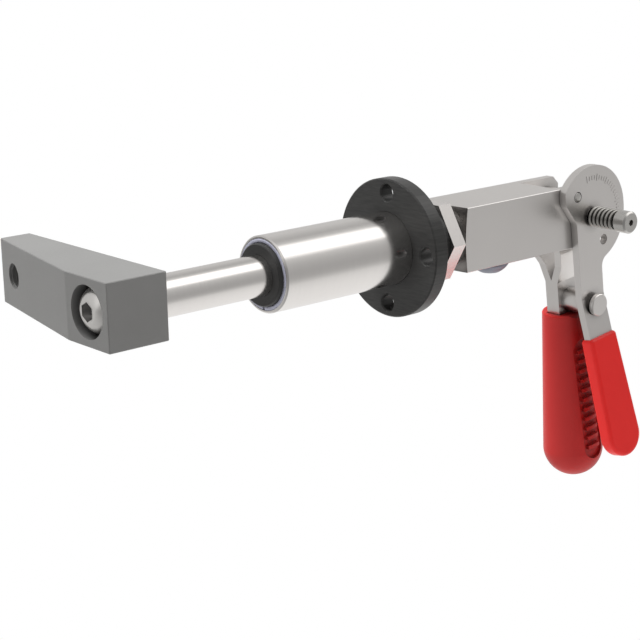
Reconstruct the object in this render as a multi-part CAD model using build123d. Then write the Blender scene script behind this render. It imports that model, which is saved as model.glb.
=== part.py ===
"""Swing clamp: a lever handle draws back and turns the arm of a flange-mounted plunger.

Frame: millimetres, +Z up. The origin is the centre of the flange's front face, on the
plunger axis. The plunger points along -X, the handle hangs at the rear (+X), and the
arm reaches out along +Y.
"""
from build123d import *
import math
import os

# Plunger rod and barrel
rod_dia = 16.0
rod_fit = 0.05
barrel_dia = 30.0
barrel_reach = 64.0
barrel_bore = 18.0
tail_dia = 22.0
tail_length = 47.0
mouth_bore = 27.8
mouth_depth = 8.8
ring_inner_dia = 25.3
ring_thickness = 1.5
ring_setback = 0.3
ring_gap = 1.0
ring_edge = 0.5
bush_nose = 0.8
bush_edge = 0.4
bush_sleeve_dia = 22.0
front_bush_length = 32.6
rear_bush_start = 18.0
rear_bush_length = 20.0
rod_out = 53.4
turned_edge = 0.5
tail_edge = 1.0

# Flange, lock nut
flange_dia = 56.5
flange_thickness = 6.8
register_depth = 0.5
register_play = 0.05
flange_hole_margin = 5.75
flange_holes = 4
flange_hole_dia = 6.8
hub_dia = 31.0
hub_length = 13.5
nut_flats = 31.2
nut_thickness = 6.6

# Housing
housing_size = 27.0
housing_front = 31.5
housing_length = 82.0
housing_edge = 0.2
housing_face_angle = 10.0
housing_bore = 20.0
thread_depth = 16.5
fork_wall = 4.0
fork_start = 57.0
fork_corner = 3.3
set_screw_dia = 5.0
set_screw_bite = 0.8
set_screw_hex = 2.5
set_screw_socket = 1.5

# Swing arm
arm_bar = 25.4
arm_heel = 13.1
arm_break = 13.0
arm_reach = 78.0
arm_tip = 13.0
arm_edge = 0.3
arm_socket = 12.0
arm_counterbore_dia = 19.8
arm_counterbore_depth = 7.0
arm_screw_dia = 10.0
arm_screw_length = 25.0
arm_screw_run_out = 3.4
arm_screw_socket = 3.4
arm_screw_head_dia = 17.5
arm_screw_head = 5.6
arm_screw_hex = 6.4
arm_screw_rim = 1.2
arm_screw_crown = 7.5
arm_dowel_dia = 4.0
arm_dowel_length = 17.0
arm_dowel_sunk = 0.6
spindle_hole_dia = 10.2
spindle_hole_margin = 12.5

# Motion
handle_travel = 90.0
handle_rest_tilt = 7.0
arm_turn = 90.0
crank_radius = 14.0
lock_circle = 13.8

# Handle mechanism
pivot_margin = 7.4
pivot_dia = 8.0
pivot_fit = 0.05
pivot_overhang = 2.7
pivot_ring_thickness = 1.0
pivot_ring_dia = 12.0
pivot_ring_play = 0.2
pivot_ring_depth = 0.5
pivot_ring_opening = 3.0
pivot_head_radius = 9.5
crank_dia = 5.0
crank_lobe = 4.6
crank_slot_play = 0.52
plate_thickness = 3.5
plate_gap = 0.3
plate_front = 10.5
plate_rear = 3.3
plate_spread_top = 15.0
plate_spread_bottom = 30.0
plate_bottom = 106.0
plate_root_radius = 3.0
plate_root_down = 22.0

# Crosshead
crosshead_width = 10.2
crosshead_front = 68.2
crosshead_block = 9.2
crosshead_fit = 0.05
hook_start = 0.6
hook_wall = 3.5
hook_top = 4.6
hook_drop = 15.0
hook_bridge = 2.5
stem_dia = 8.0
shoulder_play = 0.1
stem_thread_dia = 6.0
swivel_nut_dia = 8.9
swivel_nut_thickness = 4.4

# Guide screw and its groove
guide_x = 59.7
guide_pin_dia = 6.0
guide_thread_dia = 8.0
guide_head_dia = 16.0
guide_head = 6.1
guide_head_rim = 2.6
guide_head_crown = 9.5
guide_hex = 5.0
guide_socket = 3.5
guide_thread_setback = 0.1
groove_play = 0.1
groove_rise = 0.2

# Lock lever
disc_radius = 20.9
disc_stretch = 1.8
disc_rise = 0.5
lever_gap = 0.1
lever_front = 10.4
lever_rear = 4.2
lever_shoulder = 16.5
lever_shoulder_top = 8.8
lever_shoulder_foot = 1.0
lever_waist_fillet = 5.0
lever_shoulder_fillet = 4.0
lever_bend = 36.3
lever_bend_angle = 11.5
lever_end = 103.0
lever_hole_dia = 7.4
lock_pin_dia = 4.0
lock_pin_seat = 3.2
lock_pin_reach = 2.3
lock_pin_angle = 39.4
lock_groove_depth = 2.5
lock_groove_width = 5.2
lock_hole_dia = 4.7
spare_hole_angle = 26.6
pin_edge = 0.3

# Fulcrum
fulcrum_down = 39.5
fulcrum_forward = 3.0
fulcrum_pin_dia = 6.0
fulcrum_hole_dia = 7.2
fulcrum_head_dia = 9.8
fulcrum_head = 2.0
fulcrum_standoff = 1.85
spacer_dia = 10.8

# Lever screw and spring
lever_screw_dia = 6.0
lever_screw_head_dia = 9.6
lever_screw_head = 6.0
lever_screw_hex = 2.5
lever_screw_socket = 3.0
lever_screw_edge = 0.7
lever_screw_run_out = 1.0
lever_screw_thread = 5.0
lever_screw_bite = 9.0
spring_length = 15.1
spring_wire = 1.2
spring_outer = 9.2
spring_turns = 7.5

# Grips
grip_top = 45.2
grip_waist = 112.0
grip_top_radius = 9.8
grip_radius = 13.6
grip_edge = 0.8
mouth_gap = 0.4
mouth_depth_down = 3.0
grip_panel_top = 57.0
grip_panel_bottom = 115.0
grip_panel_width = 11.0
grip_panel_depth = 2.0
rib_width = 7.0
rib_height = 1.7
rib_pitch = 4.6
rib_count = 11
relief_depth = 2.2
relief_angle = 40.0
sleeve_top = 54.3
sleeve_end = 110.5
sleeve_thickness = 7.0
sleeve_top_width = 16.9
sleeve_width = 19.9
sleeve_edge = 1.7

# Sizes that follow from those above
half = housing_size / 2
beyond = 2 * housing_size
rod_radius = rod_dia / 2
flange_pcd = flange_dia - 2 * flange_hole_margin
groove_centre = rod_radius + groove_rise
barrel_front = -barrel_reach
arm_back = barrel_front - rod_out
arm_front = arm_back - arm_bar
spindle_hole_reach = arm_reach - spindle_hole_margin
rod_front = arm_back - arm_socket
tail_end = tail_length
set_screw_x = housing_front + thread_depth / 2
hub_end = flange_thickness + hub_length
nut_end = hub_end + nut_thickness
housing_rear = housing_front + housing_length
pivot_x = housing_rear - pivot_margin
fork_x = housing_front + fork_start
fork_half = half - fork_wall
plate_outer = fork_half - plate_gap
plate_middle = plate_outer - plate_thickness / 2
rod_stroke = 2 * crank_radius * math.sin(math.radians(handle_travel / 2))
crank_rest_x = pivot_x - rod_stroke / 2
crank_slot_half = crank_dia / 2 + crank_slot_play
crosshead_rear = crosshead_front + crosshead_block
stem_end = crosshead_rear + swivel_nut_thickness
lever_inner = half + lever_gap
lever_outer = lever_inner + plate_thickness
lever_middle = lever_inner + plate_thickness / 2
plate_centre = (plate_front - plate_rear) / 2
sleeve_centre = (lever_front - lever_rear) / 2
spring_seat = lever_outer + spring_length


def turned(*stations):
    """Solid of revolution about the plunger axis, from (x, radius) stations."""
    outline = Polyline(*stations, close=True)
    return revolve(Plane.XZ * make_face(outline), axis=Axis.X)


def bar_x(radius, start, end, y=0.0, z=0.0):
    """Round bar or hole along X."""
    length = end - start
    bar = Cylinder(radius, length, rotation=(0, 90, 0))
    return Pos((start + end) / 2, y, z) * bar


def bar_y(radius, start, end, x=0.0, z=0.0):
    """Round bar or hole along Y."""
    bar = Cylinder(radius, end - start, rotation=(90, 0, 0))
    return Pos(x, (start + end) / 2, z) * bar


def bar_z(radius, start, end, x=0.0, y=0.0):
    """Round bar or hole along Z."""
    return Pos(x, y, (start + end) / 2) * Cylinder(radius, end - start)


def block(x0, x1, y0, y1, z0, z1):
    """Rectangular block between two corners."""
    centre = Pos((x0 + x1) / 2, (y0 + y1) / 2, (z0 + z1) / 2)
    return centre * Box(x1 - x0, y1 - y0, z1 - z0)


def hex_socket(flats, depth, place):
    """Hexagonal socket that goes in along +Z from the place given."""
    return place * extrude(RegularPolygon(flats / 2, 6, major_radius=False), amount=depth)


def side_plate(sketch, y0, y1):
    """Prism of a side view sketch, drawn with X to the right and Z up."""
    return Pos(0, y1, 0) * extrude(Plane.XZ * sketch, amount=y1 - y0)


def in_handle(shape):
    """Place a shape that is drawn with the pivot at the origin and the handle straight down."""
    return Pos(pivot_x, 0, 0) * Rot(0, -handle_rest_tilt, 0) * shape


def in_lever_tail(shape):
    """Place a shape drawn in the lever's own plane into the tail that is bent outward."""
    tail = Pos(0, -lever_middle, -lever_bend) * Rot(-lever_bend_angle, 0, 0) * Pos(0, 0, lever_bend)
    return in_handle(tail * shape)


def swung(radius, angle):
    """Point on a circle about the pivot, as an angle from straight up towards the front."""
    turn = math.radians(angle)
    return -radius * math.sin(turn), radius * math.cos(turn)


# The barrel and what sits in it

def make_barrel():
    step = front_bush_length - bush_nose
    body = turned(
        (barrel_front, barrel_bore / 2),
        (barrel_front, barrel_dia / 2 - turned_edge),
        (barrel_front + turned_edge, barrel_dia / 2),
        (register_depth, barrel_dia / 2),
        (register_depth, tail_dia / 2),
        (tail_end - tail_edge, tail_dia / 2),
        (tail_end, tail_dia / 2 - tail_edge),
        (tail_end, barrel_bore / 2),
    )
    mouth = bar_x(mouth_bore / 2, barrel_front, barrel_front + mouth_depth)
    seat = bar_x(bush_sleeve_dia / 2, barrel_front, barrel_front + step)
    bite = bar_z(set_screw_dia / 2, -barrel_dia, set_screw_bite - tail_dia / 2, set_screw_x)
    return body - mouth - seat - bite


def make_front_bush():
    front = barrel_front - bush_nose
    nose = ring_inner_dia / 2
    ring_back = barrel_front + ring_setback + ring_thickness
    head_back = barrel_front + mouth_depth
    bore = rod_radius + rod_fit
    return turned(
        (front, bore),
        (front, nose - bush_edge),
        (front + bush_edge, nose),
        (ring_back, nose),
        (ring_back, mouth_bore / 2),
        (head_back, mouth_bore / 2),
        (head_back, bush_sleeve_dia / 2),
        (front + front_bush_length, bush_sleeve_dia / 2),
        (front + front_bush_length, bore),
    )


def make_retaining_ring():
    front = barrel_front + ring_setback
    back = front + ring_thickness
    ring = bar_x(mouth_bore / 2, front, back) - bar_x(ring_inner_dia / 2, front, back)
    ring = fillet(ring.edges().filter_by(GeomType.CIRCLE).group_by(Axis.X)[0], ring_edge)
    opening = block(front, back, -ring_gap / 2, ring_gap / 2, -mouth_bore, 0)
    return ring - opening


def make_rear_bush():
    end = rear_bush_start + rear_bush_length
    outer = bar_x(barrel_bore / 2, rear_bush_start, end)
    return outer - bar_x(rod_radius + rod_fit, rear_bush_start, end)


# Flange and nut

def make_flange():
    edge = turned_edge
    rim = flange_dia / 2
    hub = hub_dia / 2
    register = barrel_dia / 2 + register_play
    body = turned(
        (register_depth, tail_dia / 2),
        (register_depth, register),
        (0, register),
        (0, rim - edge),
        (edge, rim),
        (flange_thickness - edge, rim),
        (flange_thickness, rim - edge),
        (flange_thickness, hub),
        (hub_end, hub),
        (hub_end, tail_dia / 2),
    )
    hole_radius = flange_hole_dia / 2
    hole = turned(
        (0, 0),
        (0, hole_radius + edge),
        (edge, hole_radius),
        (flange_thickness - edge, hole_radius),
        (flange_thickness, hole_radius + edge),
        (flange_thickness, 0),
    )
    for index in range(flange_holes):
        angle = 360 / flange_holes * index
        body -= Rot(angle, 0, 0) * Pos(0, 0, flange_pcd / 2) * hole
    return body


def make_lock_nut():
    hexagon = RegularPolygon(nut_flats / 2, 6, major_radius=False)
    nut = Pos(hub_end, 0, 0) * Rot(0, 90, 0) * extrude(Rot(0, 0, 90) * hexagon, amount=nut_thickness)
    return nut - bar_x(tail_dia / 2, hub_end, nut_end)


# Housing

def make_housing():
    body = block(housing_front, housing_rear, -half, half, -half, half)
    body = chamfer(body.edges().filter_by(Axis.X), housing_edge)
    rear_corners = body.edges().filter_by(Axis.Y).group_by(Axis.X)[-1]
    body = chamfer(rear_corners, fork_corner)
    setback = (beyond - half) * math.tan(math.radians(housing_face_angle))
    body &= turned(
        (housing_front, 0),
        (housing_front, half),
        (housing_front + setback, beyond),
        (housing_rear, beyond),
        (housing_rear, 0),
    )
    body -= bar_x(tail_dia / 2, housing_front, housing_front + thread_depth)
    body -= bar_x(housing_bore / 2, housing_front + thread_depth, fork_x + 1)
    body -= block(fork_x, housing_rear + 1, -fork_half, fork_half, -half - 1, half + 1)
    body -= bar_y(pivot_dia / 2 + pivot_fit, -half - 1, half + 1, pivot_x)
    body -= bar_z(guide_thread_dia / 2, -half - 1, 0, guide_x)
    body -= bar_z(set_screw_dia / 2, -half - 1, 0, set_screw_x)
    return body - make_lock_pin()


def make_body_set_screw():
    top = set_screw_bite - tail_dia / 2
    bottom = housing_edge - half
    screw = bar_z(set_screw_dia / 2, bottom, top, set_screw_x)
    return screw - hex_socket(set_screw_hex, set_screw_socket, Pos(set_screw_x, 0, bottom))


def button_head(radius, height, rim, crown):
    """Domed screw head that stands on the origin and faces -X."""
    outline = [
        Line((0, 0), (0, radius)),
        Line((0, radius), (-rim, radius)),
        RadiusArc((-rim, radius), (-height, radius / 2), -crown),
        Line((-height, radius / 2), (-height, 0)),
        Line((-height, 0), (0, 0)),
    ]
    return revolve(Plane.XZ * make_face(outline), axis=Axis.X)


def make_guide_screw():
    tip = -groove_centre
    bore = -housing_bore / 2 - guide_thread_setback
    screw = bar_z(guide_pin_dia / 2, bore, tip, guide_x)
    screw += Pos(guide_x, 0, tip) * Sphere(guide_pin_dia / 2)
    screw += bar_z(guide_thread_dia / 2, -half, bore, guide_x)
    head = button_head(guide_head_dia / 2, guide_head, guide_head_rim, guide_head_crown)
    head = Pos(guide_x, 0, -half) * Rot(0, -90, 0) * head
    socket = hex_socket(guide_hex, guide_socket, Pos(guide_x, 0, -half - guide_head))
    return screw + head - socket


# Plunger rod, arm and their fasteners

def cut_cam_groove(rod):
    """Cut the helical groove that turns the rod while it is drawn back."""
    radius = guide_pin_dia / 2 + groove_play
    pitch = rod_stroke * 360 / arm_turn
    helix = Helix(pitch, rod_stroke, groove_centre)
    start = helix @ 0
    profile = Plane(origin=start, z_dir=helix % 0) * Circle(radius)
    place = Pos(guide_x, 0, 0) * Rot(180, 0, 0) * Rot(0, -90, 0)
    rod -= place * sweep(profile, path=helix, is_frenet=True)
    rod -= place * Pos(*start) * Sphere(radius)
    rod -= place * Pos(*(helix @ 1)) * Sphere(radius)
    return rod


def make_plunger_rod():
    body = turned(
        (rod_front, 0),
        (rod_front, rod_radius - turned_edge),
        (rod_front + turned_edge, rod_radius),
        (crosshead_front - shoulder_play, rod_radius),
        (crosshead_front - shoulder_play, stem_dia / 2),
        (crosshead_rear, stem_dia / 2),
        (crosshead_rear, stem_thread_dia / 2),
        (stem_end, stem_thread_dia / 2),
        (stem_end, 0),
    )
    screw_hole_end = arm_front + arm_counterbore_depth + arm_screw_length + arm_screw_run_out
    body -= bar_x(arm_screw_dia / 2, rod_front, screw_hole_end)
    body -= arm_dowel_bar()
    return cut_cam_groove(body)


def arm_dowel_bar():
    bottom = arm_dowel_sunk - arm_bar / 2
    x = arm_back - arm_socket / 2
    return bar_z(arm_dowel_dia / 2, bottom, bottom + arm_dowel_length, x, rod_radius)


def make_clamp_arm():
    outline = Polyline(
        (arm_front, -arm_heel),
        (arm_front, arm_break),
        (arm_back - arm_tip, arm_reach),
        (arm_back, arm_reach),
        (arm_back, -arm_heel),
        close=True,
    )
    arm = Pos(0, 0, -arm_bar / 2) * extrude(make_face(outline), amount=arm_bar)
    arm = chamfer(arm.edges(), arm_edge)
    arm -= bar_x(rod_radius, rod_front, 0)
    arm -= bar_x(arm_screw_dia / 2, arm_front, rod_front)
    arm -= bar_x(arm_counterbore_dia / 2, arm_front, arm_front + arm_counterbore_depth)
    arm -= bar_x(spindle_hole_dia / 2, arm_front, arm_back, spindle_hole_reach)
    drill = bar_z(arm_dowel_dia / 2, -arm_bar, 0, arm_back - arm_socket / 2, rod_radius)
    return arm - drill - arm_dowel_bar()


def make_arm_screw():
    seat = arm_front + arm_counterbore_depth
    head = button_head(arm_screw_head_dia / 2, arm_screw_head, arm_screw_rim, arm_screw_crown)
    screw = Pos(seat, 0, 0) * head + bar_x(arm_screw_dia / 2, seat, seat + arm_screw_length)
    socket_place = Pos(seat - arm_screw_head, 0, 0) * Rot(0, 90, 0)
    return screw - hex_socket(arm_screw_hex, arm_screw_socket, socket_place)


# Crosshead and what joins it to the rod and the handle

def make_crosshead():
    radius = housing_bore / 2 - crosshead_fit
    hook_front = fork_x + hook_start
    wide = crosshead_width / 2
    slide = bar_x(radius, crosshead_front, hook_front)
    slide &= block(crosshead_front, hook_front, -wide, wide, -radius, radius)
    hook_rear = crank_rest_x + crank_slot_half + hook_wall
    hook = block(hook_front, hook_rear, -wide, wide, -hook_drop, -hook_top)
    body = slide + hook
    body -= block(crosshead_rear, hook_rear, -wide, wide, -hook_top, radius)
    body -= bar_x(stem_dia / 2 + rod_fit, crosshead_front, crosshead_rear)
    slot_top = -hook_top - hook_bridge
    slot = block(
        crank_rest_x - crank_slot_half,
        crank_rest_x + crank_slot_half,
        -wide,
        wide,
        -beyond,
        slot_top,
    )
    return body - slot


def make_swivel_nut():
    nut = bar_x(swivel_nut_dia / 2, crosshead_rear, stem_end)
    nut = chamfer(nut.edges().group_by(Axis.X)[-1], turned_edge)
    return nut - bar_x(stem_thread_dia / 2, crosshead_rear, stem_end)


def crank_place():
    """Crank pin's place in the handle's own plane, with the handle straight down."""
    angle = math.radians(handle_travel / 2 + handle_rest_tilt)
    return -crank_radius * math.sin(angle), -crank_radius * math.cos(angle)


def make_crank_pin():
    x, z = crank_place()
    return in_handle(bar_y(crank_dia / 2, -plate_outer, plate_outer, x, z))


# Handle

def handle_outline():
    """Side view of a handle plate, with the pivot at the origin."""
    width = plate_front + plate_rear
    arm = Pos(-plate_centre, -plate_bottom / 2) * Rectangle(width, plate_bottom)
    x, z = crank_place()
    head = Circle(pivot_head_radius)
    lobe = Pos(x, z) * Circle(crank_lobe)
    root = Pos(plate_root_radius - plate_front, -plate_root_down) * Circle(plate_root_radius)
    crank = make_hull(head.edges() + lobe.edges())
    web = make_hull(lobe.edges() + root.edges())
    return arm + crank + web


def make_handle_plate(side):
    """One plate: flat in the fork, bent in to meet its twin at the grip."""
    inner = plate_thickness / 2
    path = Polyline(
        (side * plate_middle, beyond),
        (side * plate_middle, -plate_spread_top),
        (side * inner, -plate_spread_bottom),
        (side * inner, -plate_bottom - beyond),
    )
    strip = trace(path, line_width=plate_thickness)
    sheet = extrude(Plane.YZ * strip, amount=beyond, both=True)
    plate = sheet & side_plate(handle_outline(), -half, half)
    x, z = crank_place()
    plate -= bar_y(pivot_dia / 2, -half, half)
    plate -= bar_y(crank_dia / 2, -half, half, x, z)
    plate -= bar_y(fulcrum_pin_dia / 2, -half, half, -fulcrum_forward, -fulcrum_down)
    return in_handle(plate)


def make_pivot_pin():
    end = half + pivot_overhang
    pin = bar_y(pivot_dia / 2, -half, end)
    pin = chamfer(pin.edges().group_by(Axis.Y)[-1], turned_edge)
    pin -= ring_band(pivot_dia)
    pin -= bar_y(lever_screw_thread / 2, -half, lever_screw_bite - half)
    return in_handle(pin)


def ring_band(radius):
    """Washer-shaped band from the floor of the pivot pin's ring groove out to a radius."""
    start = half + pivot_ring_play
    end = start + pivot_ring_thickness
    return bar_y(radius, start, end) - bar_y(pivot_dia / 2 - pivot_ring_depth, start, end)


def make_pivot_ring():
    opening = pivot_ring_opening / 2
    ring = ring_band(pivot_ring_dia / 2)
    ring -= block(-opening, opening, 0, beyond, -pivot_ring_dia, 0)
    return in_handle(ring)


def make_handle_grip():
    top = -grip_top
    rim = grip_top_radius - grip_edge
    below = top - grip_edge
    outline = [
        Line((0, -grip_waist - grip_radius), (0, top)),
        Line((0, top), (rim, top)),
        RadiusArc((rim, top), (grip_top_radius, below), grip_edge),
        Line((grip_top_radius, below), (grip_radius, -grip_waist)),
        RadiusArc((grip_radius, -grip_waist), (0, -grip_waist - grip_radius), grip_radius),
    ]
    grip = revolve(Plane.XZ * make_face(outline), axis=Axis.Z)
    relief = Pos(0, relief_depth - grip_top_radius, top) * Rot(relief_angle, 0, 0)
    grip -= relief * block(-beyond, beyond, -beyond, 0, 0, beyond)
    grip = Pos(-plate_centre, 0, 0) * grip - grip_panel()
    grip -= plate_pocket(0, plate_bottom)
    grip -= plate_pocket(mouth_gap, grip_top + mouth_depth_down)
    return in_handle(grip)


def plate_pocket(gap, bottom):
    """Slot down into the grip for the two plates, with a gap around them."""
    thick = plate_thickness + gap
    return block(-plate_front - gap, plate_rear + gap, -thick, thick, -bottom, 0)


def grip_panel():
    """Cutter for the recessed panel on the near side, leaving a row of raised bars."""
    height = grip_panel_bottom - grip_panel_top
    middle = (grip_panel_bottom + grip_panel_top) / 2
    taper = (grip_radius - grip_top_radius) / (grip_waist - grip_top)
    radius = grip_top_radius + (middle - grip_top) * taper
    cutter = side_plate(SlotOverall(height, grip_panel_width, rotation=90), -beyond, 0)
    for index in range(rib_count):
        z = (index - (rib_count - 1) / 2) * rib_pitch
        cutter -= block(-rib_width / 2, rib_width / 2, -beyond, 0, z - rib_height / 2, z + rib_height / 2)
    lean = Rot(-math.degrees(math.atan(taper)), 0, 0)
    return Pos(-plate_centre, grip_panel_depth - radius, -middle) * lean * cutter


# Lock lever

def lever_outline():
    """Side view of the lever plate, laid flat."""
    width = lever_front + lever_rear
    straight = lever_end - width / 2
    outline = Pos(0, disc_rise) * SlotCenterToCenter(disc_stretch, 2 * disc_radius, rotation=90)
    outline += Pos(-sleeve_centre, -straight / 2) * Rectangle(width, straight)
    outline += Pos(-sleeve_centre, -straight) * Circle(width / 2)
    outline -= make_face(Polyline(
        (-lever_shoulder, beyond),
        (-lever_shoulder, lever_shoulder_top),
        (-lever_front, -lever_shoulder_foot),
        (-lever_front, -straight),
        (-beyond, -straight),
        (-beyond, beyond),
        close=True,
    ))
    corners = outline.vertices()
    waist = corners.filter_by_position(Axis.Y, -disc_radius - disc_stretch, -pivot_dia).sort_by(Axis.X)[-1:]
    outline = fillet(waist, lever_waist_fillet)
    corners = outline.vertices()
    shoulder = corners.filter_by_position(Axis.Y, -lever_shoulder_foot - 1, disc_radius)
    return fillet(shoulder.filter_by_position(Axis.X, -disc_radius, 1 - lever_front), lever_shoulder_fillet)


def lock_groove():
    """Blind arc groove in the disc's inner face, for the lock pin's way about the pivot."""
    start = swung(lock_circle, lock_pin_angle)
    middle = swung(lock_circle, lock_pin_angle - handle_travel / 2)
    end = swung(lock_circle, lock_pin_angle - handle_travel)
    sketch = trace(ThreePointArc(start, middle, end), line_width=lock_groove_width)
    sketch += Pos(*start) * Circle(lock_groove_width / 2)
    sketch += Pos(*end) * Circle(lock_groove_width / 2)
    return side_plate(sketch, -lever_inner - lock_groove_depth, -half)


def make_lock_lever():
    path = Polyline(
        (-lever_middle, beyond),
        (-lever_middle, -lever_bend),
        (
            -lever_middle - lever_end * math.sin(math.radians(lever_bend_angle)),
            -lever_bend - lever_end * math.cos(math.radians(lever_bend_angle)),
        ),
    )
    sheet = extrude(Plane.YZ * trace(path, line_width=plate_thickness), amount=beyond, both=True)
    plate = sheet & side_plate(lever_outline(), -beyond, 0)
    pin_x, pin_z = swung(lock_circle, lock_pin_angle)
    hole_x, hole_z = swung(lock_circle, 180 + spare_hole_angle)
    plate -= bar_y(lever_hole_dia / 2, -beyond, 0)
    plate -= bar_y(lock_hole_dia / 2, -beyond, 0, pin_x, pin_z)
    plate -= bar_y(lock_hole_dia / 2, -beyond, 0, hole_x, hole_z)
    plate -= lock_groove()
    plate -= bar_y(fulcrum_hole_dia / 2, -beyond, 0, -fulcrum_forward, -fulcrum_down)
    return in_handle(plate)


def make_lock_pin():
    """Pin in the housing's near wall that the lever's disc drops over."""
    x, z = swung(lock_circle, lock_pin_angle)
    pin = bar_y(lock_pin_dia / 2, -lever_inner - lock_pin_reach, lock_pin_seat - half, x, z)
    return in_handle(chamfer(pin.edges().group_by(Axis.Y)[0], pin_edge))


def make_lever_grip(lever):
    radius = sleeve_width / 2
    top = Line((-sleeve_top_width / 2, -sleeve_top), (sleeve_top_width / 2, -sleeve_top))
    end = Pos(0, radius - sleeve_end) * Circle(radius)
    sketch = make_hull(end.edges() + top.edges())
    sketch = fillet(sketch.vertices().group_by(Axis.Y)[-1], sleeve_edge)
    sleeve = side_plate(sketch, -sleeve_thickness / 2, sleeve_thickness / 2)
    rims = sleeve.faces().filter_by(Axis.Y).edges()
    sleeve = fillet(rims, sleeve_edge)
    return in_lever_tail(Pos(-sleeve_centre, 0, 0) * sleeve) - lever


# Fulcrum

def make_fulcrum_pin():
    x = -fulcrum_forward
    z = -fulcrum_down
    under_head = -lever_outer - fulcrum_standoff
    pin = bar_y(fulcrum_pin_dia / 2, under_head, plate_thickness, x, z)
    head = bar_y(fulcrum_head_dia / 2, under_head - fulcrum_head, under_head, x, z)
    head = chamfer(head.edges().group_by(Axis.Y)[0], pin_edge)
    return in_handle(pin + head)


def make_fulcrum_spacer():
    x = -fulcrum_forward
    z = -fulcrum_down
    tube = bar_y(spacer_dia / 2, -half, -plate_thickness, x, z)
    return in_handle(tube - bar_y(fulcrum_pin_dia / 2, -half, 0, x, z))


# Lever screw and spring

def make_lever_screw():
    end = -spring_seat - lever_screw_head
    screw = bar_y(lever_screw_head_dia / 2, end, -spring_seat)
    screw = chamfer(screw.edges().group_by(Axis.Y)[0], lever_screw_edge)
    screw += bar_y(lever_screw_dia / 2, -spring_seat, -half)
    screw += bar_y(lever_screw_thread / 2, -half, lever_screw_bite - lever_screw_run_out - half)
    socket = hex_socket(lever_screw_hex, lever_screw_socket, Pos(0, end, 0) * Rot(-90, 0, 0))
    return in_handle(screw - socket)


def make_lever_spring():
    radius = (spring_outer - spring_wire) / 2
    rise = spring_length - spring_wire
    helix = Helix(rise / spring_turns, rise, radius)
    start = helix @ 0
    profile = Plane(origin=start, z_dir=helix % 0) * Circle(spring_wire / 2)
    coil = sweep(profile, path=helix, is_frenet=True)
    lying = Rot(90, 0, 0) * coil
    return in_handle(Pos(0, -lever_outer - spring_wire / 2, 0) * lying)


def main():
    lever = make_lock_lever()
    nodes = {
        "barrel": make_barrel(),
        "front_bush": make_front_bush(),
        "retaining_ring": make_retaining_ring(),
        "rear_bush": make_rear_bush(),
        "flange": make_flange(),
        "lock_nut": make_lock_nut(),
        "housing": make_housing(),
        "body_set_screw": make_body_set_screw(),
        "guide_screw": make_guide_screw(),
        "plunger_rod": make_plunger_rod(),
        "clamp_arm": make_clamp_arm(),
        "arm_screw": make_arm_screw(),
        "arm_dowel": arm_dowel_bar(),
        "crosshead": make_crosshead(),
        "swivel_nut": make_swivel_nut(),
        "crank_pin": make_crank_pin(),
        "handle_plate_near": make_handle_plate(-1),
        "handle_plate_far": make_handle_plate(1),
        "pivot_pin": make_pivot_pin(),
        "pivot_ring": make_pivot_ring(),
        "handle_grip": make_handle_grip(),
        "fulcrum_pin": make_fulcrum_pin(),
        "fulcrum_spacer": make_fulcrum_spacer(),
        "lever_screw": make_lever_screw(),
        "lever_spring": make_lever_spring(),
        "lock_lever": lever,
        "lock_pin": make_lock_pin(),
        "lever_grip": make_lever_grip(lever),
    }
    os.makedirs("parts", exist_ok=True)
    for name, shape in nodes.items():
        export_step(shape, f"parts/{name}.step")


main()
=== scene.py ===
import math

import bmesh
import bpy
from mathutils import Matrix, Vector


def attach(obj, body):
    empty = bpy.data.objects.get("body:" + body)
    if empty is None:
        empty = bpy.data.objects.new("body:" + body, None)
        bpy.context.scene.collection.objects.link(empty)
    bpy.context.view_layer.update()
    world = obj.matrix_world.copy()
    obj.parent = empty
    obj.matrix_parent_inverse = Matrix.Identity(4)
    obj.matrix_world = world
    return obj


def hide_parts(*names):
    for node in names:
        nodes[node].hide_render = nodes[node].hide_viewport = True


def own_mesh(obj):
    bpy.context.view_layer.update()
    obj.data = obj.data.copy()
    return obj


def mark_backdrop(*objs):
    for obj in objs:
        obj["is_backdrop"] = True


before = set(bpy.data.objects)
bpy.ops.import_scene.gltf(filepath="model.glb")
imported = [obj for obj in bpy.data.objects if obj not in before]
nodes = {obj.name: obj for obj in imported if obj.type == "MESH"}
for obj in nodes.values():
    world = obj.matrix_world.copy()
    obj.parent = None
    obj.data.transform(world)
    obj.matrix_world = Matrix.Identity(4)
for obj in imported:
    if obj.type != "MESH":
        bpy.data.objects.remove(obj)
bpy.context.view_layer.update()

# %% [markdown]
# A swing clamp stands here: a chromed plunger with a machined arm on its end, a black
# flange that bolts it to a fixture, and a steel body with a lever handle. The solids come
# from the imported model, already in metres and in place, so this script only dresses them:
# it gives each solid a finish, adds the details that are too fine for the solids, and sets
# the camera and the light.

MM = 0.001


# %% [markdown]
# The photograph fixes the camera: it stands in front of the arm, on the lever's side, and
# a little above the plunger. A camera can be aimed with a constraint, but a plain matrix
# built from azimuth, elevation and roll keeps every number visible, so that is the way
# taken here. The image is square and the lens has no shift.

# %% Camera
CAMERA_PLACE = Vector((-448.4, -482.5, 147.3)) * MM
CAMERA_AZIMUTH = math.radians(-40.52)
CAMERA_ELEVATION = math.radians(15.02)
CAMERA_ROLL = math.radians(-1.13)
CAMERA_LENS = 94.4
CAMERA_SENSOR = 36
NEAREST_SEEN, FURTHEST_SEEN = 0.01, 30


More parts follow.
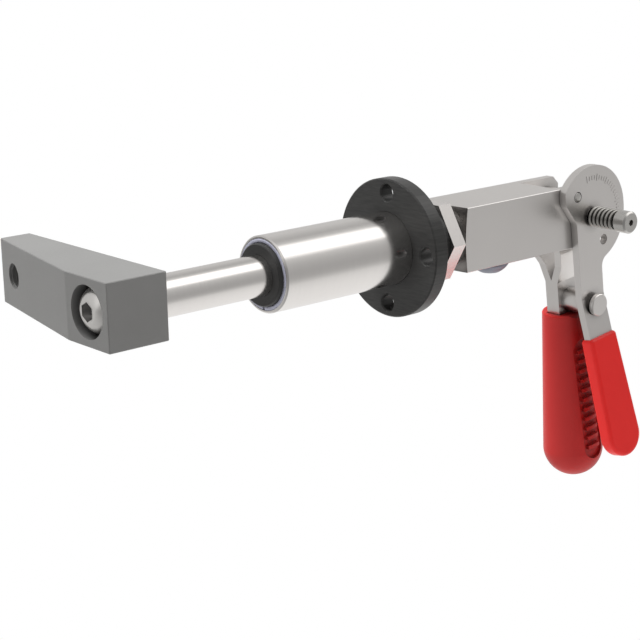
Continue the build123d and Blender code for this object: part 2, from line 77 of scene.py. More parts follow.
def make_camera():
    back = Vector((
        math.sin(CAMERA_AZIMUTH) * math.cos(CAMERA_ELEVATION),
        -math.cos(CAMERA_AZIMUTH) * math.cos(CAMERA_ELEVATION),
        math.sin(CAMERA_ELEVATION),
    ))
    side = Vector((0, 0, 1)).cross(back).normalized()
    up = back.cross(side)
    right = math.cos(CAMERA_ROLL) * side + math.sin(CAMERA_ROLL) * up
    top = -math.sin(CAMERA_ROLL) * side + math.cos(CAMERA_ROLL) * up
    data = bpy.data.cameras.new("camera")
    data.lens = CAMERA_LENS
    data.sensor_width = CAMERA_SENSOR
    data.clip_start, data.clip_end = NEAREST_SEEN, FURTHEST_SEEN
    camera = bpy.data.objects.new("camera", data)
    turn = Matrix((right, top, back)).transposed().to_4x4()
    camera.matrix_world = Matrix.Translation(CAMERA_PLACE) @ turn
    bpy.context.scene.collection.objects.link(camera)
    bpy.context.scene.camera = camera
    return camera


camera = make_camera()
print("camera at", tuple(round(v, 3) for v in camera.location))


# %% [markdown]
# The studio's light, the finishes and the coils below are all small trees of nodes. Adding
# and wiring one node takes several lines, so two helpers do it in one. Plain values fill
# the node's inputs in their order. A capitalised name fills the input of that name, and a
# lower-case name is one of the node's settings. A value that is another node's output
# becomes a link.

# %% Helpers for node trees
def fill(node, *values, **named):
    """Gives a node its settings and inputs, and hands it back."""
    settings = {name: value for name, value in named.items() if name.islower()}
    for name, value in settings.items():
        setattr(node, name, value)
    inputs = list(zip(node.inputs, values))
    for name, value in named.items():
        if name not in settings:
            inputs.append((node.inputs[name.replace("_", " ")], value))
    for socket, value in inputs:
        if isinstance(value, bpy.types.NodeSocket):
            node.id_data.links.new(value, socket)
        else:
            socket.default_value = value
    return node


def add(tree, kind, *values, **named):
    return fill(tree.nodes.new(kind), *values, **named)


print("helpers for node trees:", fill.__name__, add.__name__)


# %% [markdown]
# Bright metal is mostly a picture of its surroundings, so the finish of this clamp is made
# by the studio as much as by its materials. Softboxes could be set up one by one, but a
# world that changes with direction gives the same calm bands on every tube: pale ground
# below, a darker room at eye level, one long bright light overhead and a mid grey on the
# far side. The angle is taken around the plunger's axis, from level on the lever's side
# upwards. The half of the room beyond the handle is brighter than the half in front of the
# arm, so the narrow edges that face forward stay darker than the broad sides. The camera
# itself sees plain white. One soft lamp above the far side lights the matt parts, and it
# is hidden from metal, where it would show as a square.

# %% Studio light
REAR_BANDS = (
    (-180, 0.84), (-130, 0.84), (-105, 0.83), (-80, 0.81), (-60, 0.78), (-45, 0.73),
    (-33, 0.66), (-24, 0.50), (-14, 0.40), (1, 0.375), (14, 0.40), (26, 0.44), (36, 0.50),
    (45, 0.58), (57, 1.4), (86, 1.4), (97, 0.56), (113, 0.42), (130, 0.50), (146, 0.57),
    (180, 0.57),
)
FRONT_BANDS = (
    (-180, 0.49), (-120, 0.46), (-60, 0.34), (-20, 0.25), (20, 0.25), (50, 0.45),
    (62, 0.70), (95, 0.70), (120, 0.52), (180, 0.49),
)
STUDIO_TINT = (1.0, 0.985, 0.97)
SIDE_BLEND = 0.25
WHITE = (1, 1, 1, 1)
KEY_PLACE = Vector((-0.36, 0.75, 1.45))
KEY_SIZE = 0.9
KEY_WATTS = 44


def band_ramp(tree, bands, share):
    """Colour ramp whose stops are given as degrees and levels."""
    ramp = add(tree, "ShaderNodeValToRGB", Fac=share)
    stops = ramp.color_ramp.elements
    while len(stops) < len(bands):
        stops.new(0.5)
    for stop, (degrees, level) in zip(stops, bands):
        stop.position = (degrees + 180) / 360
        stop.color = (*(level * tint for tint in STUDIO_TINT), 1)
    return ramp.outputs["Color"]


def make_studio():
    """World of bands around the plunger's axis, plain white to the camera."""
    world = bpy.data.worlds.new("studio")
    world.use_nodes = True
    tree = world.node_tree
    tree.nodes.clear()
    looking = add(tree, "ShaderNodeTexCoord").outputs["Generated"]
    along = add(tree, "ShaderNodeSeparateXYZ", Vector=looking).outputs
    to_lever = add(tree, "ShaderNodeMath", along["Y"], -1.0, operation="MULTIPLY").outputs[0]
    angle = add(tree, "ShaderNodeMath", along["Z"], to_lever, operation="ARCTAN2").outputs[0]
    share = add(tree, "ShaderNodeMapRange", Value=angle, From_Min=-math.pi, From_Max=math.pi)
    rearward = add(tree, "ShaderNodeMapRange", interpolation_type="SMOOTHSTEP",
                   Value=along["X"], From_Min=-SIDE_BLEND, From_Max=SIDE_BLEND)
    room = add(tree, "ShaderNodeMix", data_type="RGBA", Factor=rearward.outputs["Result"])
    front, rear = (socket for socket in room.inputs if socket.type == "RGBA")
    tree.links.new(band_ramp(tree, FRONT_BANDS, share.outputs["Result"]), front)
    tree.links.new(band_ramp(tree, REAR_BANDS, share.outputs["Result"]), rear)
    mixed = next(socket for socket in room.outputs if socket.type == "RGBA")
    bands = add(tree, "ShaderNodeBackground", Color=mixed).outputs[0]
    plain = add(tree, "ShaderNodeBackground", Color=WHITE).outputs[0]
    seen = add(tree, "ShaderNodeLightPath").outputs["Is Camera Ray"]
    choice = add(tree, "ShaderNodeMixShader", seen, bands, plain)
    add(tree, "ShaderNodeOutputWorld", Surface=choice.outputs[0])
    bpy.context.scene.world = world


def make_key_light():
    """Soft square lamp that points at the origin, out of sight of the camera and of metal."""
    data = bpy.data.lights.new("key", "AREA")
    data.size = KEY_SIZE
    data.energy = KEY_WATTS
    lamp = bpy.data.objects.new("key", data)
    aim = (-KEY_PLACE).to_track_quat("-Z", "Y").to_matrix().to_4x4()
    lamp.matrix_world = Matrix.Translation(KEY_PLACE) @ aim
    lamp.visible_glossy = False
    lamp.visible_camera = False
    bpy.context.scene.collection.objects.link(lamp)


make_studio()
make_key_light()
bpy.context.scene.view_settings.view_transform = "Standard"
print("studio bands:", len(REAR_BANDS), "beyond the handle and", len(FRONT_BANDS), "in front")


# %% [markdown]
# Each material starts from the same helper, which leaves only the output and a Principled
# shader in its tree, so that a finish below reads as a list of what it is made of.

# %% Helper for materials
def new_material(name):
    """Material, its tree, and the Principled shader that is joined to its output."""
    material = bpy.data.materials.new(name)
    material.use_nodes = True
    tree = material.node_tree
    tree.nodes.clear()
    shader = add(tree, "ShaderNodeBsdfPrincipled")
    add(tree, "ShaderNodeOutputMaterial", Surface=shader.outputs["BSDF"])
    return material, tree, shader


print("helper for materials:", new_material.__name__)


# %% [markdown]
# The clamp hangs in the air from its flange, as it would in a fixture, so the floor lies
# well below it. Light falls on the floor as on any other, but the camera sees it as plain
# white, so its edge and shadow don't show and no lamp has to be turned up. Metal doesn't
# mirror it, because the bands of the studio are what gives the tubes their shape.

# %% Floor
FLOOR_DROP = 0.8
FLOOR_HALF = 12.0
FLOOR_COLOUR = (0.9, 0.9, 0.9, 1)
FLOOR_ROUGHNESS = 0.9


def make_floor():
    mesh = bpy.data.meshes.new("floor")
    corners = ((-1, -1), (1, -1), (1, 1), (-1, 1))
    spread = [(x * FLOOR_HALF, y * FLOOR_HALF, -FLOOR_DROP) for x, y in corners]
    mesh.from_pydata(spread, [], [(0, 1, 2, 3)])
    floor = bpy.data.objects.new("floor", mesh)
    bpy.context.scene.collection.objects.link(floor)
    material, tree, shader = new_material("floor_white")
    fill(shader, Base_Color=FLOOR_COLOUR, Roughness=FLOOR_ROUGHNESS)
    seen = add(tree, "ShaderNodeLightPath").outputs["Is Camera Ray"]
    glow = add(tree, "ShaderNodeEmission", Color=WHITE, Strength=1.0).outputs[0]
    choice = add(tree, "ShaderNodeMixShader", seen, shader.outputs[0], glow)
    fill(tree.nodes["Material Output"], Surface=choice.outputs[0])
    mesh.materials.append(material)
    floor.visible_glossy = False
    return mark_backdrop(floor)


make_floor()
print("floor at", -FLOOR_DROP)


# %% [markdown]
# The finishes. Each is a Principled shader whose colour, roughness and bump come from a
# little noise, because no real surface is one flat value. The noise reads Object
# coordinates, so it stays put on a piece that moves. Two more things make metal look solid:
# corners that are a little rounded, which a Bevel node does for the light alone, and
# painted shade in crevices, where Ambient Occlusion darkens the colour. The front of the
# body is turned, and its colour gets painted shade as well, darker than the plated sides,
# for the black flange and nut that it mirrors. It alone looks forward, so the direction of
# a face is enough to pick it out.

# %% Shared steps of the finishes
EDGE_ROUNDING = 0.09 * MM
EDGE_SAMPLES = 4
CREVICE_SAMPLES = 16
CREVICE_OPENNESS = (0.15, 0.95)
# Painted shade: faces whose normal points this far towards -X get a darker colour.
PAINTED_DARK_FACING = (-0.35, -0.15)
GRAIN_DEPTH = 0.05 * MM


def object_place(tree, scale=(1, 1, 1)):
    """Object coordinates, pressed together or drawn out along the axes."""
    place = add(tree, "ShaderNodeTexCoord").outputs["Object"]
    return add(tree, "ShaderNodeMapping", Vector=place, Scale=scale).outputs["Vector"]


def two_tone(tree, factor, low, high, ends=(0, 1)):
    """Colour between two linear colours, reached where the factor passes the two ends."""
    ramp = add(tree, "ShaderNodeValToRGB", Fac=factor)
    for stop, position, colour in zip(ramp.color_ramp.elements, ends, (low, high)):
        stop.position = position
        stop.color = (*colour, 1)
    return ramp.outputs["Color"]


def darkened(tree, colour, measure, limits, darkest):
    """The colour, times a level that rises from darkest to 1 while a measure crosses its limits."""
    level = add(tree, "ShaderNodeMapRange", Value=measure, From_Min=limits[0], From_Max=limits[1],
                To_Min=darkest, To_Max=1.0)
    scaled = add(tree, "ShaderNodeVectorMath", colour, operation="SCALE", Scale=level.outputs["Result"])
    return scaled.outputs["Vector"]


def shaded_in_crevices(tree, colour, reach, darkest):
    """The colour with painted shade, darker where other surfaces stand close."""
    openness = add(tree, "ShaderNodeAmbientOcclusion", samples=CREVICE_SAMPLES, Distance=reach)
    return darkened(tree, colour, openness.outputs["AO"], CREVICE_OPENNESS, darkest)


def front_painted_dark(tree, colour, darkest):
    """The colour with painted shade on the faces that look towards -X, for the dark parts they mirror.
    """
    facing = add(tree, "ShaderNodeTexCoord").outputs["Normal"]
    along = add(tree, "ShaderNodeSeparateXYZ", Vector=facing).outputs["X"]
    return darkened(tree, colour, along, PAINTED_DARK_FACING, darkest)


def surface_from_noise(tree, shader, height, rough, bump, depth, rounding=EDGE_ROUNDING):
    """Roughness and relief from one noise, over corners rounded for the light."""
    spread = add(tree, "ShaderNodeMapRange", Value=height, To_Min=rough[0], To_Max=rough[1])
    corner = add(tree, "ShaderNodeBevel", samples=EDGE_SAMPLES, Radius=rounding)
    relief = add(tree, "ShaderNodeBump", Height=height, Strength=bump, Distance=depth,
                 Normal=corner.outputs["Normal"])
    fill(shader, Roughness=spread.outputs["Result"], Normal=relief.outputs["Normal"])


print("corners rounded by", EDGE_ROUNDING, "m for the light")


# %% [markdown]
# Plated and ground parts share one finish with different numbers: a fine grain for the
# roughness and the relief, and a broad one for the slow change of colour in a plated skin.

# %% Plated steel
BROADER = 30


def plated_steel(name, low, high, rough, metal=1.0, grain=900, bump=0.06, reach=7 * MM,
                 darkest=0.35, painted_front_shade=None):
    """Metal with a fine grain, as plating over a tumbled or machined blank has."""
    material, tree, shader = new_material(name)
    place = object_place(tree)
    fine = add(tree, "ShaderNodeTexNoise", Vector=place, Scale=grain, Detail=4.0).outputs["Fac"]
    broad = add(tree, "ShaderNodeTexNoise", Vector=place, Scale=grain / BROADER, Detail=3.0)
    tone = two_tone(tree, broad.outputs["Fac"], low, high)
    # Painted shade: the colour is darkened in crevices.
    colour = shaded_in_crevices(tree, tone, reach, darkest)
    # On the body, painted shade on its forward faces, for the black flange and nut they mirror.
    if painted_front_shade:
        colour = front_painted_dark(tree, colour, painted_front_shade)
    fill(shader, Base_Color=colour, Metallic=metal)
    surface_from_noise(tree, shader, fine, rough, bump, GRAIN_DEPTH)
    return material


NICKEL = {"low": (0.86, 0.835, 0.82), "high": (0.91, 0.89, 0.87), "rough": (0.26, 0.36),
          "bump": 0.04, "reach": 5 * MM, "darkest": 0.42}
satin_nickel = plated_steel("satin_nickel", **NICKEL)
# The body's forward faces get painted shade, for the dark flange and nut mirrored in them.
body_nickel = plated_steel("body_nickel", **NICKEL, painted_front_shade=0.32)
nut_nickel = plated_steel(
    "nut_nickel", (0.88, 0.85, 0.83), (0.93, 0.90, 0.88), (0.14, 0.24), bump=0.03,
    reach=3 * MM, darkest=0.45)
arm_steel = plated_steel(
    "arm_steel", (0.24, 0.24, 0.237), (0.275, 0.275, 0.272), (0.40, 0.52), metal=0.3,
    grain=1400, bump=0.12)
ring_zinc = plated_steel(
    "ring_zinc", (0.50, 0.51, 0.63), (0.56, 0.57, 0.69), (0.24, 0.32), metal=0.35,
    reach=2 * MM, darkest=0.8)
screw_zinc = plated_steel(
    "screw_zinc", (0.36, 0.375, 0.44), (0.42, 0.435, 0.50), (0.45, 0.55), reach=4 * MM,
    darkest=0.5)
screw_steel = plated_steel(
    "screw_steel", (0.92, 0.91, 0.89), (0.96, 0.95, 0.93), (0.26, 0.32), bump=0.01,
    reach=1.5 * MM, darkest=0.5)
# Painted shade: a dark steel for the hexagon recess of the arm's screw, where shadow lies.
painted_shade_socket = plated_steel(
    "painted_shade_socket", (0.17, 0.165, 0.16), (0.23, 0.225, 0.22), (0.26, 0.34), bump=0.02,
    darkest=0.7)
head_steel = plated_steel(
    "head_steel", (0.66, 0.65, 0.63), (0.72, 0.71, 0.69), (0.20, 0.26), bump=0.015,
    reach=2 * MM, darkest=0.6)
pin_steel = plated_steel(
    "pin_steel", (0.66, 0.65, 0.63), (0.76, 0.75, 0.73), (0.20, 0.32), reach=4 * MM,
    darkest=0.55)
spring_steel = plated_steel(
    "spring_steel", (0.44, 0.43, 0.41), (0.52, 0.51, 0.49), (0.18, 0.26), reach=3 * MM,
    darkest=0.35)
dark_steel = plated_steel(
    "dark_steel", (0.05, 0.05, 0.052), (0.09, 0.09, 0.092), (0.3, 0.45), metal=0.4)
bronze = plated_steel("bronze", (0.52, 0.30, 0.11), (0.60, 0.38, 0.16), (0.3, 0.45))
print("plated finishes made, from", satin_nickel.name, "to", bronze.name)


# %% [markdown]
# Turned parts carry marks that run around the plunger's axis. The rod, the barrel and the
# bush show fine rings, so their noise reads the place along the axis and the distance from
# it. A little of the direction around the axis is mixed in, so that the rings wander.

# %% Turned metal
RING_WANDER = (0, 0.6 * MM, 0.6 * MM)
RING_DEPTH = 0.04 * MM


def around_axis(tree):
    """Place along the X axis, distance from it and direction around it."""
    place = add(tree, "ShaderNodeTexCoord").outputs["Object"]
    split = add(tree, "ShaderNodeSeparateXYZ", Vector=place).outputs
    flat = add(tree, "ShaderNodeCombineXYZ", Y=split["Y"], Z=split["Z"]).outputs[0]
    radius = add(tree, "ShaderNodeVectorMath", flat, operation="LENGTH").outputs["Value"]
    unit = add(tree, "ShaderNodeVectorMath", flat, operation="NORMALIZE").outputs["Vector"]
    return split["X"], radius, unit


def turned_metal(name, low, high, rough, metal, ring_scale, bump):
    """Metal with fine rings about the X axis, left by the lathe or the grinder."""
    material, tree, shader = new_material(name)
    along, radius, unit = around_axis(tree)
    rings = add(tree, "ShaderNodeCombineXYZ", X=along, Y=radius).outputs[0]
    place = add(tree, "ShaderNodeVectorMath", unit, RING_WANDER, rings, operation="MULTIPLY_ADD")
    noise = add(tree, "ShaderNodeTexNoise", Vector=place.outputs[0], Scale=ring_scale, Detail=3.0)
    height = noise.outputs["Fac"]
    fill(shader, Base_Color=two_tone(tree, height, low, high), Metallic=metal)
    surface_from_noise(tree, shader, height, rough, bump, RING_DEPTH)
    return material


hard_chrome = turned_metal(
    "hard_chrome", (0.88, 0.86, 0.845), (0.95, 0.93, 0.91), (0.12, 0.20), metal=1.0,
    ring_scale=2600, bump=0.08)
bush_black = turned_metal(
    "bush_black", (0.012, 0.012, 0.012), (0.045, 0.045, 0.045), (0.32, 0.44), metal=0.0,
    ring_scale=3200, bump=0.6)
print("turned finishes made:", hard_chrome.name, bush_black.name)


# %% [markdown]
# The black flange was cast and milled before it was blackened: faint wavy lines lie level
# across its face and run along the axis on its rim. Noise that is drawn out along two axes
# and tight along the third gives both, because it is one pattern in space.

# %% Blackened flange
LINE_STRETCH = (0.05, 0.09, 1.0)
LINE_ENDS = (0.34, 0.66)
LINE_DEPTH = 0.06 * MM
FLANGE_REACH = 5 * MM
FLANGE_DARKEST = 0.6
FLANGE_ROUNDING = 0.16 * MM


def blackened(name, low, high, rough, line_scale, bump):
    """Blackened steel with faint wavy lines that lie level and run along the X axis."""
    material, tree, shader = new_material(name)
    place = object_place(tree, LINE_STRETCH)
    lines = add(tree, "ShaderNodeTexNoise", Vector=place, Scale=line_scale, Detail=5.0, Distortion=0.5)
    height = lines.outputs["Fac"]
    tone = two_tone(tree, height, low, high, LINE_ENDS)
    # Painted shade: the flange's colour is darkened in its crevices.
    fill(shader, Base_Color=shaded_in_crevices(tree, tone, FLANGE_REACH, FLANGE_DARKEST))
    surface_from_noise(tree, shader, height, rough, bump, LINE_DEPTH, FLANGE_ROUNDING)
    return material


flange_black = blackened(
    "flange_black", (0.024, 0.024, 0.024), (0.040, 0.040, 0.039), (0.28, 0.38),
    line_scale=1500, bump=0.2)
print("flange finish made:", flange_black.name)


# %% [markdown]
# The red parts are thick vinyl, with a strong colour, a soft gloss and a faint orange-peel
# skin from the mould. The lever's sleeve gets a much lighter red than the large grip, as
# painted light on its face, and the hollows of the large grip get painted shade. The
# vinyl's soft corners are rounded more than those of the metal.

# %% Red grips
SKIN_SCALE = 1100.0
CLOUD_SCALE = 45.0
GRIP_ROUNDING = 0.3 * MM


def dipped_vinyl(name, low, high, rough, bump, reach, darkest):
    """Thick soft plastic, dipped or moulded, with a faint orange-peel skin."""
    material, tree, shader = new_material(name)
    place = object_place(tree)
    skin = add(tree, "ShaderNodeTexNoise", Vector=place, Scale=SKIN_SCALE, Detail=3.0)
    cloud = add(tree, "ShaderNodeTexNoise", Vector=place, Scale=CLOUD_SCALE, Detail=2.0)
    tone = two_tone(tree, cloud.outputs["Fac"], low, high)
    # Painted shade: the vinyl's colour is darkened in its hollows.
    fill(shader, Base_Color=shaded_in_crevices(tree, tone, reach, darkest), IOR=1.46,
         Specular_IOR_Level=0.4)
    surface_from_noise(tree, shader, skin.outputs["Fac"], rough, bump, GRAIN_DEPTH, GRIP_ROUNDING)
    return material


grip_red = dipped_vinyl(
    "grip_red", (0.50, 0.016, 0.015), (0.56, 0.022, 0.020), (0.34, 0.46), bump=0.05,
    reach=16 * MM, darkest=0.45)
# Painted light: the sleeve's red is much lighter than the grip's, for the light on its face.
sleeve_red_painted_lit = dipped_vinyl(
    "sleeve_red_painted_lit", (0.87, 0.018, 0.016), (0.93, 0.023, 0.020), (0.26, 0.32), bump=0.012,
    reach=6 * MM, darkest=0.7)
print("grip finishes made:", grip_red.name, sleeve_red_painted_lit.name)


# %% [markdown]
# Each solid now gets its finish. A line for each solid would do, but a list for each finish
# shows which parts of the clamp are made alike, and the number that is printed shows that
# no solid was left out.

# %% Finishes on the solids
FINISHES = {
    satin_nickel: (
        "handle_plate_near", "handle_plate_far", "lock_lever", "fulcrum_pin", "fulcrum_spacer",
    ),
    body_nickel: ("housing",),
    nut_nickel: ("lock_nut",),
    hard_chrome: ("barrel", "plunger_rod"),
    flange_black: ("flange",),
    bush_black: ("front_bush",),
    arm_steel: ("clamp_arm",),
    ring_zinc: ("retaining_ring",),
    screw_zinc: ("guide_screw",),
    screw_steel: ("arm_screw",),
    head_steel: ("lever_screw",),
    pin_steel: (
        "arm_dowel", "lock_pin", "pivot_pin", "crank_pin", "crosshead", "swivel_nut",
    ),
    spring_steel: ("lever_spring",),
    dark_steel: ("pivot_ring", "body_set_screw"),
    bronze: ("rear_bush",),
    grip_red: ("handle_grip",),
    sleeve_red_painted_lit: ("lever_grip",),
}
for finish, names in FINISHES.items():
    for name in names:
        nodes[name].data.materials.clear()
        nodes[name].data.materials.append(finish)
print("dressed:", sum(len(names) for names in FINISHES.values()), "of", len(nodes))


# %% [markdown]
# The pieces that follow are made in several ways, and all end alike. Their faces are turned
# outwards and drawn smooth, with corners kept sharp where two faces meet at more than a
# small angle. Then an object at the origin carries the mesh and rides on its body.

# %% Helpers for new pieces
SMOOTH_ANGLE = math.radians(30)


def to_smooth_mesh(shape, mesh):
    """Writes a shape to a mesh, faces outwards, smooth between its sharp corners."""
    bmesh.ops.recalc_face_normals(shape, faces=shape.faces)
    shape.to_mesh(mesh)
    shape.free()
    mesh.shade_smooth()
    mesh.set_sharp_from_angle(angle=SMOOTH_ANGLE)


def riding_piece(name, mesh, body):
    """Object for a finished mesh, on its body."""
    mesh.name = name
    piece = bpy.data.objects.new(name, mesh)
    bpy.context.scene.collection.objects.link(piece)
    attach(piece, body)
    print(name, "faces:", len(mesh.polygons))
    return piece


print("corners sharp above", round(math.degrees(SMOOTH_ANGLE)), "degrees")


# %% [markdown]
# Three small parts differ a little from their solids when the photograph is seen close. The
# round screw in the arm has a taller head, and its hexagon recess gets a darker steel than
# the head, as painted shade for the shadow that lies in it. At the barrel's mouth the black
# bush stands further out and is narrower, and the ring around it reaches further in and
# stands a little further forward. They could be turned anew from a profile. Here the solid's
# own mesh is copied and its points are moved, which keeps every face that fits its neighbours.

# %% Parts refitted from their solids
MERGE_WITHIN = 0.002 * MM
SCREW_SEAT = -135.8 * MM
SEAT_PLAY = 0.1 * MM
SCREW_TALLER = 1.3 * MM
SOCKET_FLOOR = -140.0 * MM
SOCKET_REACH = 3.8 * MM
SOCKET_INWARD = -0.3
MOUTH_FRONT = -64.3 * MM
NOSE_RADIUS = 12.65 * MM
NOSE_CHAMFER = 0.45 * MM
NOSE_PLAY = 0.05 * MM
NOSE_NARROWER = 0.5 * MM
NOSE_FURTHER = 1.0 * MM
RING_RADIUS = 13.9 * MM
RING_MIDDLE = -62.8 * MM
RING_FURTHER = 0.4 * MM


def refitted(node, name, body, finish, move, inner=None):
    """A merged copy of a solid, with each point passed through a function, in its place.
    Inner, where given, is a test for faces and the finish of the faces that pass it."""
    mesh = nodes[node].data.copy()
    shape = bmesh.new()
    shape.from_mesh(mesh)
    bmesh.ops.remove_doubles(shape, verts=shape.verts, dist=MERGE_WITHIN)
    for vertex in shape.verts:
        vertex.co = Vector(move(*vertex.co))
    to_smooth_mesh(shape, mesh)
    mesh.materials.clear()
    mesh.materials.append(finish)
    if inner:
        is_inner, inner_finish = inner
        mesh.materials.append(inner_finish)
        for face in mesh.polygons:
            face.material_index = int(is_inner(face.center, face.normal))
    piece = riding_piece(name, mesh, body)
    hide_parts(node)
    return piece


def taller_head(x, y, z):
    return (x - SCREW_TALLER if x < SCREW_SEAT - SEAT_PLAY else x), y, z


def in_socket(center, normal):
    """Whether a face of the arm's screw is a wall or the floor of its hexagon."""
    radius = math.hypot(center.y, center.z)
    if radius > SOCKET_REACH or center.x > SCREW_SEAT:
        return False
    inward = normal.y * center.y + normal.z * center.z < SOCKET_INWARD * radius
    return inward or center.x > SOCKET_FLOOR


def narrowed(x, y, z, shift):
    """The point moved towards the plunger's axis by a distance."""
    radius = math.hypot(y, z)
    share = (radius - shift) / radius if radius > 0 else 1
    return x, y * share, z * share


def longer_nose(x, y, z):
    on_nose = NOSE_RADIUS - NOSE_CHAMFER < math.hypot(y, z) < NOSE_RADIUS + NOSE_PLAY
    x, y, z = narrowed(x, y, z, NOSE_NARROWER if on_nose else 0)
    return (x - NOSE_FURTHER if x < MOUTH_FRONT else x), y, z


def wider_ring(x, y, z):
    share = (RING_RADIUS - math.hypot(y, z)) / (RING_RADIUS - NOSE_RADIUS)
    x, y, z = narrowed(x, y, z, NOSE_NARROWER * share)
    return (x - RING_FURTHER if x < RING_MIDDLE else x), y, z


# The walls and floor of the hexagon get the painted shade finish.
refitted("arm_screw", "arm_screw_tall", "plunger", screw_steel, taller_head,
         inner=(in_socket, painted_shade_socket))
refitted("front_bush", "front_bush_nosed", "housing", bush_black, longer_nose)
refitted("retaining_ring", "mouth_ring", "housing", ring_zinc, wider_ring)


# %% [markdown]
# A coil spring and a screw thread are the same form: a round profile carried along a helix.
# A screw modifier would do it, but a node tree with named sizes can be reused, so one tree
# makes the lever's spring, the thread that shows between the nut and the body, and the
# thread in the arm's tip. The helix node winds left-handed of itself, which is the hand of
# the lever's spring. A screw thread is right-handed, so one input turns the hand round.

# %% Coil tree
NUMBER, WHOLE_NUMBER, YES_OR_NO = "NodeSocketFloat", "NodeSocketInt", "NodeSocketBool"


def new_tree(name, sizes):
    """Geometry tree with an input for each size, by name and kind, and one for the finish."""
    tree = bpy.data.node_groups.new(name, "GeometryNodeTree")
    for label, kind in sizes.items():
        tree.interface.new_socket(name=label, in_out="INPUT", socket_type=kind)
    tree.interface.new_socket(name="Finish", in_out="INPUT", socket_type="NodeSocketMaterial")
    tree.interface.new_socket(name="Geometry", in_out="OUTPUT", socket_type="NodeSocketGeometry")
    return tree, tree.nodes.new("NodeGroupInput").outputs


def end_tree(tree, given, geometry):
    """Realize Instances, Set Material and the output."""
    whole = add(tree, "GeometryNodeRealizeInstances", Geometry=geometry)
    painted = add(tree, "GeometryNodeSetMaterial", Geometry=whole.outputs["Geometry"],
                  Material=given["Finish"])
    add(tree, "NodeGroupOutput", Geometry=painted.outputs["Geometry"])
    return tree


def make_coil_tree():
    tree, given = new_tree("coil", {
        "Turns": NUMBER, "Radius": NUMBER, "Length": NUMBER, "Wire Radius": NUMBER,
        "Steps": WHOLE_NUMBER, "Wire Sides": WHOLE_NUMBER, "Right Handed": YES_OR_NO,
    })
    helix = add(tree, "GeometryNodeCurveSpiral", Reverse=given["Right Handed"],
                Resolution=given["Steps"], Rotations=given["Turns"], Height=given["Length"],
                Start_Radius=given["Radius"], End_Radius=given["Radius"])
    wire = add(tree, "GeometryNodeCurvePrimitiveCircle", Resolution=given["Wire Sides"],
               Radius=given["Wire Radius"])
    swept = add(tree, "GeometryNodeCurveToMesh", Curve=helix.outputs["Curve"],
                Profile_Curve=wire.outputs["Curve"], Fill_Caps=True)
    return end_tree(tree, given, swept.outputs["Mesh"])


def mesh_from_tree(tree, sizes, finish):
    """The mesh that a tree makes at the given sizes, on a helper object that is taken away."""
    blank = bpy.data.meshes.new("blank")
    helper = bpy.data.objects.new("helper", blank)
    bpy.context.scene.collection.objects.link(helper)
    modifier = helper.modifiers.new("tree", "NODES")
    modifier.node_group = tree
    inputs = (item for item in tree.interface.items_tree if item.in_out == "INPUT")
    keys = {item.name: item.identifier for item in inputs}
    for label, value in {**sizes, "Finish": finish}.items():
        modifier[keys[label]] = value
    evaluated = helper.evaluated_get(bpy.context.evaluated_depsgraph_get())
    mesh = bpy.data.meshes.new_from_object(evaluated)
    bpy.data.objects.remove(helper)
    bpy.data.meshes.remove(blank)
    return mesh


def piece_from_tree(tree, name, sizes, finish, place, body):
    """Keeps what a tree makes as a plain mesh in its place, and lets it ride."""
    mesh = mesh_from_tree(tree, sizes, finish)
    mesh.transform(place)
    shape = bmesh.new()
    shape.from_mesh(mesh)
    to_smooth_mesh(shape, mesh)
    return riding_piece(name, mesh, body)


coil_tree = make_coil_tree()
print("coil tree nodes:", len(coil_tree.nodes))


# %% [markdown]
# The spring stands between the lever's face and the head of the lever's screw. The lever
# tilts towards that head, so the real spring shortens as it does; here it is made once, at
# one length, and rides on the handle.

# %% Lever spring
PIVOT_X = 106.1 * MM
LEVER_FACE = -17.1 * MM
SPRING_LENGTH = 15.1 * MM
SPRING_WIRE = 0.75 * MM
SPRING_RADIUS = 3.9 * MM
SPRING_TURNS = 6.3
ALONG_MINUS_Y = Matrix.Rotation(math.radians(90), 4, "X")

spring = piece_from_tree(
    coil_tree, "lever_spring_wound",
    {"Turns": SPRING_TURNS, "Radius": SPRING_RADIUS, "Length": SPRING_LENGTH - 2 * SPRING_WIRE,
     "Wire Radius": SPRING_WIRE, "Steps": 40, "Wire Sides": 16, "Right Handed": False},
    spring_steel, Matrix.Translation((PIVOT_X, LEVER_FACE - SPRING_WIRE, 0)) @ ALONG_MINUS_Y,
    "handle",
)
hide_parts("lever_spring")
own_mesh(spring)


# %% [markdown]
# The barrel's tail is threaded where the nut and the body screw onto it, and the hole in
# the arm's tip takes a threaded spindle. The solids are plain cylinders there. Cutting the
# grooves out would take a slow Boolean, so the ridges are laid on instead: a thin wire,
# half sunk in the metal and in the same finish, looks like the crest of a thread.

# %% Threads
ALONG_X = Matrix.Rotation(math.radians(90), 4, "Y")
TAIL_PLACE = Vector((27.3, 0, 0)) * MM
TIP_PLACE = Vector((-131.0, 65.5, 0)) * MM
TAIL_THREAD = {"Turns": 2.8, "Radius": 11.0 * MM, "Length": 4.0 * MM, "Wire Radius": 0.5 * MM,
               "Steps": 64, "Wire Sides": 8, "Right Handed": True}
TIP_THREAD = {"Turns": 7.4, "Radius": 5.15 * MM, "Length": 12.9 * MM, "Wire Radius": 0.32 * MM,
              "Steps": 48, "Wire Sides": 8, "Right Handed": True}

piece_from_tree(coil_tree, "tail_thread", TAIL_THREAD, hard_chrome,
                Matrix.Translation(TAIL_PLACE) @ ALONG_X, "housing")
piece_from_tree(coil_tree, "tip_thread", TIP_THREAD, arm_steel,
                Matrix.Translation(TIP_PLACE) @ ALONG_X, "plunger")


# %% [markdown]
# The small pin that locks the handle is riveted in the disc, and its end shows in the disc's
# hole, nearly level with the face. A cylinder would look too sharp there, so the end is
# turned from a profile: pairs of radius and height, joined ring by ring, with a small dome.

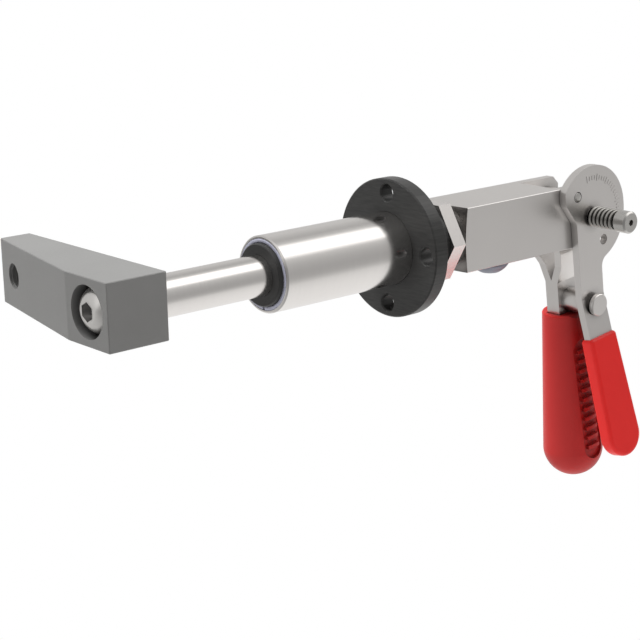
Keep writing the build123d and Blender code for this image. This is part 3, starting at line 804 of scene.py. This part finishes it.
# %% Rivet end in the disc
RIVET = [(radius * MM, height * MM) for radius, height in (
    (0, 0), (2.05, 0), (2.05, 0.78), (1.95, 0.92), (1.7, 1.0), (1.2, 1.06), (0, 1.1),
)]
RIVET_SIDES = 32
RIVET_PLACE = Vector((96.11, -16.2, 9.515)) * MM


def turned_piece(name, profile, sides, finish, place, body):
    """Closed solid of revolution from radius and height pairs that start and end on the axis."""
    shape = bmesh.new()
    rings = []
    for radius, height in profile:
        turns = [math.tau * step / sides for step in range(sides)] if radius else [0.0]
        points = [(radius * math.cos(turn), radius * math.sin(turn), height) for turn in turns]
        rings.append([shape.verts.new(point) for point in points])
    for low, high in zip(rings, rings[1:]):
        for step in range(sides):
            after = step + 1
            corners = (low[step % len(low)], low[after % len(low)],
                       high[after % len(high)], high[step % len(high)])
            shape.faces.new(tuple(dict.fromkeys(corners)))
    mesh = bpy.data.meshes.new(name)
    to_smooth_mesh(shape, mesh)
    mesh.transform(place)
    mesh.materials.append(finish)
    return riding_piece(name, mesh, body)


turned_piece("lock_pin_rivet", RIVET, RIVET_SIDES, head_steel,
             Matrix.Translation(RIVET_PLACE) @ ALONG_MINUS_Y, "lever")


# %% [markdown]
# The disc of the lock lever gets a plain angle scale along its upper edge: small raised bars
# set around an arc. They could be modelled one by one, but a rule places them better: each
# bar is a box that sits on a point and is turned to face outward, and every fourth is longer.

# %% Marks on the lever's disc
LONG_EVERY = 4.0
SHORT_SHARE = 0.62
DISC_MARKS = {
    "Count": 21, "Radius": 16.9 * MM, "First Angle": math.radians(-14),
    "Step Angle": math.radians(5.5), "Mark Length": 3.0 * MM, "Mark Width": 0.6 * MM,
    "Mark Height": 0.3 * MM,
}


def make_marks_tree():
    tree, given = new_tree("arc_marks", {
        "Count": WHOLE_NUMBER, "Radius": NUMBER, "First Angle": NUMBER, "Step Angle": NUMBER,
        "Mark Length": NUMBER, "Mark Width": NUMBER, "Mark Height": NUMBER,
    })

    def worked_out(operation, *values):
        return add(tree, "ShaderNodeMath", *values, operation=operation).outputs[0]

    def vector(x, y, z):
        return add(tree, "ShaderNodeCombineXYZ", x, y, z).outputs[0]

    index = add(tree, "GeometryNodeInputIndex").outputs[0]
    turned = worked_out("MULTIPLY", index, given["Step Angle"])
    angle = worked_out("ADD", given["First Angle"], turned)
    across = worked_out("MULTIPLY", given["Radius"], worked_out("SINE", angle))
    upwards = worked_out("MULTIPLY", given["Radius"], worked_out("COSINE", angle))
    points = add(tree, "GeometryNodePoints", Count=given["Count"],
                 Position=vector(across, 0.0, upwards))
    bar = add(tree, "GeometryNodeMeshCube",
              Size=vector(given["Mark Width"], given["Mark Height"], given["Mark Length"]))
    is_long = worked_out("LESS_THAN", worked_out("MODULO", index, LONG_EVERY), 0.5)
    longer = worked_out("MULTIPLY", is_long, 1 - SHORT_SHARE)
    stretch = worked_out("ADD", SHORT_SHARE, longer)
    placed = add(tree, "GeometryNodeInstanceOnPoints", Points=points.outputs[0],
                 Instance=bar.outputs["Mesh"], Rotation=vector(0.0, angle, 0.0),
                 Scale=vector(1.0, 1.0, stretch))
    return end_tree(tree, given, placed.outputs["Instances"])


piece_from_tree(make_marks_tree(), "disc_marks", DISC_MARKS, satin_nickel,
                Matrix.Translation((PIVOT_X, LEVER_FACE, 0)), "lever")
